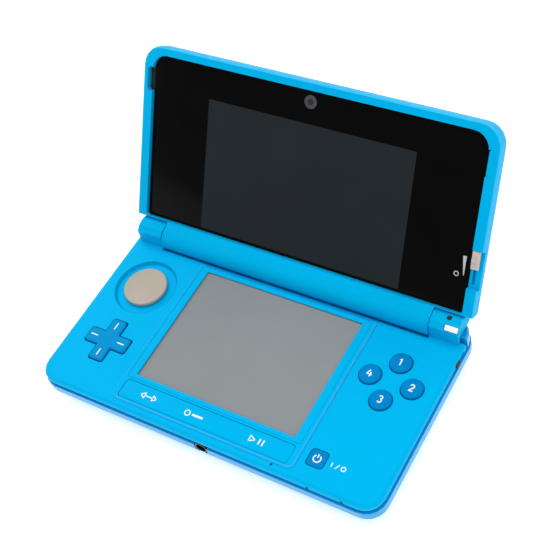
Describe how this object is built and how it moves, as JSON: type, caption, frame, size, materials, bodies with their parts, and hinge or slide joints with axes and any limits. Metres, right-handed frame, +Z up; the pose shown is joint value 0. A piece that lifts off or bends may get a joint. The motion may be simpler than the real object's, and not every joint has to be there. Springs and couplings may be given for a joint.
{
  "type": "handheld lcd game",
  "caption": "Folding handheld game console with a wide lid screen, a touch screen, round and cross pads, buttons and a stylus.",
  "frame": {"origin": "centre of the base's underside, where the object rests on a table", "axes": "+Z up, +X to the player's right along the hinge, +Y to the back, lid shown open"},
  "size_m": [0.1342, 0.11, 0.0738],
  "materials": {
    "face_blue": "satin pearl paint over moulded plastic",
    "hull_blue": "clear-coated pearl blue plastic",
    "key_blue": "gloss moulded plastic, deeper blue",
    "cap_grey": "warm grey, finely textured",
    "gloss_black": "polished black",
    "screen_glass": "polished clear sheet with a black printed border",
    "touch_film": "satin grey film over an unlit display",
    "matte_black": "fine matte",
    "slider_grey": "satin light grey",
    "membrane": "silicone",
    "board_green": "solder mask over fibreglass",
    "cell_grey": "wrapped cell",
    "steel": "stamped and plated",
    "light_white": "translucent white light guide"
  },
  "bodies": {
    "base": {"bottom_cover": "hull_blue", "lower_shell": "hull_blue", "face_shell": "face_blue", "cover_screw_left": "steel", "cover_screw_right": "steel", "shoulder_pin_left": "steel", "shoulder_pin_right": "steel", "shell_screw_1": "steel", "shell_screw_2": "steel", "shell_screw_3": "steel", "shell_screw_4": "steel", "hinge_click_unit": "steel", "hinge_cable_sleeve": "matte_black", "touch_screen": "touch_film", "touch_bezel": "face_blue", "menu_membrane": "membrane", "button_membrane": "membrane", "direction_membrane": "membrane", "battery": "cell_grey", "main_board": "board_green", "game_card_reader": "steel", "memory_card_reader": "steel", "headphone_jack": "gloss_black", "charge_port": "matte_black", "infrared_window": "gloss_black", "light_power": "matte_black", "light_charge": "matte_black", "light_status": "light_white", "block_plug": "matte_black"},
    "lid": {"lid_frame": "face_blue", "lid_cover": "hull_blue", "screen_lens": "screen_glass", "display_module": "matte_black", "inner_camera": "gloss_black", "outer_camera_left": "gloss_black", "outer_camera_right": "gloss_black", "speaker_left": "matte_black", "speaker_right": "matte_black"},
    "depth_knob": {"depth_slider": "slider_grey"},
    "button_1": {"face_button_1": "key_blue"},
    "button_2": {"face_button_2": "key_blue"},
    "button_3": {"face_button_3": "key_blue"},
    "button_4": {"face_button_4": "key_blue"},
    "power_key": {"power_button": "key_blue"},
    "menu_keys": {"menu_strip": "face_blue"},
    "direction_gimbal": {"direction_pivot": "matte_black"},
    "direction_cross": {"direction_pad": "key_blue"},
    "circle_x": {"circle_carriage": "matte_black"},
    "circle_y": {"circle_cap": "cap_grey", "circle_plate": "matte_black"},
    "shoulder_left": {"shoulder_button_left": "hull_blue"},
    "shoulder_right": {"shoulder_button_right": "hull_blue"},
    "volume_knob": {"volume_slider": "matte_black"},
    "wireless_knob": {"wireless_switch": "matte_black"},
    "card_door": {"memory_card_door": "hull_blue"},
    "pen": {"stylus": "matte_black"}
  },
  "joints": [
    {"name": "lid_hinge", "type": "hinge", "parent": "base", "child": "lid", "pos_m": [0, 0.032, 0.0147], "axis": [-1, 0, 0], "range_deg": [-122.4, 32.6]},
    {"name": "depth_slide", "type": "slide", "parent": "lid", "child": "depth_knob", "axis": [0, -0.5358, -0.8443], "range_m": [0, 0.006]},
    {"name": "button_1_press", "type": "slide", "parent": "base", "child": "button_1", "axis": [0, 0, -1], "range_m": [0, 0.0007], "stiffness_N_per_m": 1500},
    {"name": "button_2_press", "type": "slide", "parent": "base", "child": "button_2", "axis": [0, 0, -1], "range_m": [0, 0.0007], "stiffness_N_per_m": 1500},
    {"name": "button_3_press", "type": "slide", "parent": "base", "child": "button_3", "axis": [0, 0, -1], "range_m": [0, 0.0007], "stiffness_N_per_m": 1500},
    {"name": "button_4_press", "type": "slide", "parent": "base", "child": "button_4", "axis": [0, 0, -1], "range_m": [0, 0.0007], "stiffness_N_per_m": 1500},
    {"name": "power_press", "type": "slide", "parent": "base", "child": "power_key", "axis": [0, 0, -1], "range_m": [0, 0.0004], "stiffness_N_per_m": 2500},
    {"name": "menu_press", "type": "slide", "parent": "base", "child": "menu_keys", "axis": [0, 0, -1], "range_m": [0, 0.00025], "stiffness_N_per_m": 3000},
    {"name": "direction_rock_x", "type": "hinge", "parent": "base", "child": "direction_gimbal", "pos_m": [-0.0497, -0.0152, 0.0101], "axis": [1, 0, 0], "range_deg": [-3, 3], "stiffness_Nm_per_rad": 0.12},
    {"name": "direction_rock_y", "type": "hinge", "parent": "direction_gimbal", "child": "direction_cross", "pos_m": [-0.0497, -0.0152, 0.0101], "axis": [0, 1, 0], "range_deg": [-3, 3], "stiffness_Nm_per_rad": 0.12},
    {"name": "circle_slide_x", "type": "slide", "parent": "base", "child": "circle_x", "axis": [1, 0, 0], "range_m": [-0.0022, 0.0022], "stiffness_N_per_m": 180},
    {"name": "circle_slide_y", "type": "slide", "parent": "circle_x", "child": "circle_y", "axis": [0, 1, 0], "range_m": [-0.0022, 0.0022], "stiffness_N_per_m": 180},
    {"name": "shoulder_left_press", "type": "hinge", "parent": "base", "child": "shoulder_left", "pos_m": [-0.0562, 0.035, 0.0105], "axis": [0, 0, 1], "range_deg": [0, 3], "stiffness_Nm_per_rad": 0.3},
    {"name": "shoulder_right_press", "type": "hinge", "parent": "base", "child": "shoulder_right", "pos_m": [0.0562, 0.035, 0.0105], "axis": [0, 0, -1], "range_deg": [0, 3], "stiffness_Nm_per_rad": 0.3},
    {"name": "volume_slide", "type": "slide", "parent": "base", "child": "volume_knob", "axis": [0, 1, 0], "range_m": [-0.0037, 0.0037]},
    {"name": "wireless_slide", "type": "slide", "parent": "base", "child": "wireless_knob", "axis": [0, 1, 0], "range_m": [0, 0.0032], "stiffness_N_per_m": 100},
    {"name": "card_door_hinge", "type": "hinge", "parent": "base", "child": "card_door", "pos_m": [-0.0623, 0.0054, 0.0025], "axis": [0, -1, 0], "range_deg": [0, 60]},
    {"name": "stylus_slide", "type": "slide", "parent": "base", "child": "pen", "axis": [0, 1, 0], "range_m": [0, 0.06]}
  ]
}
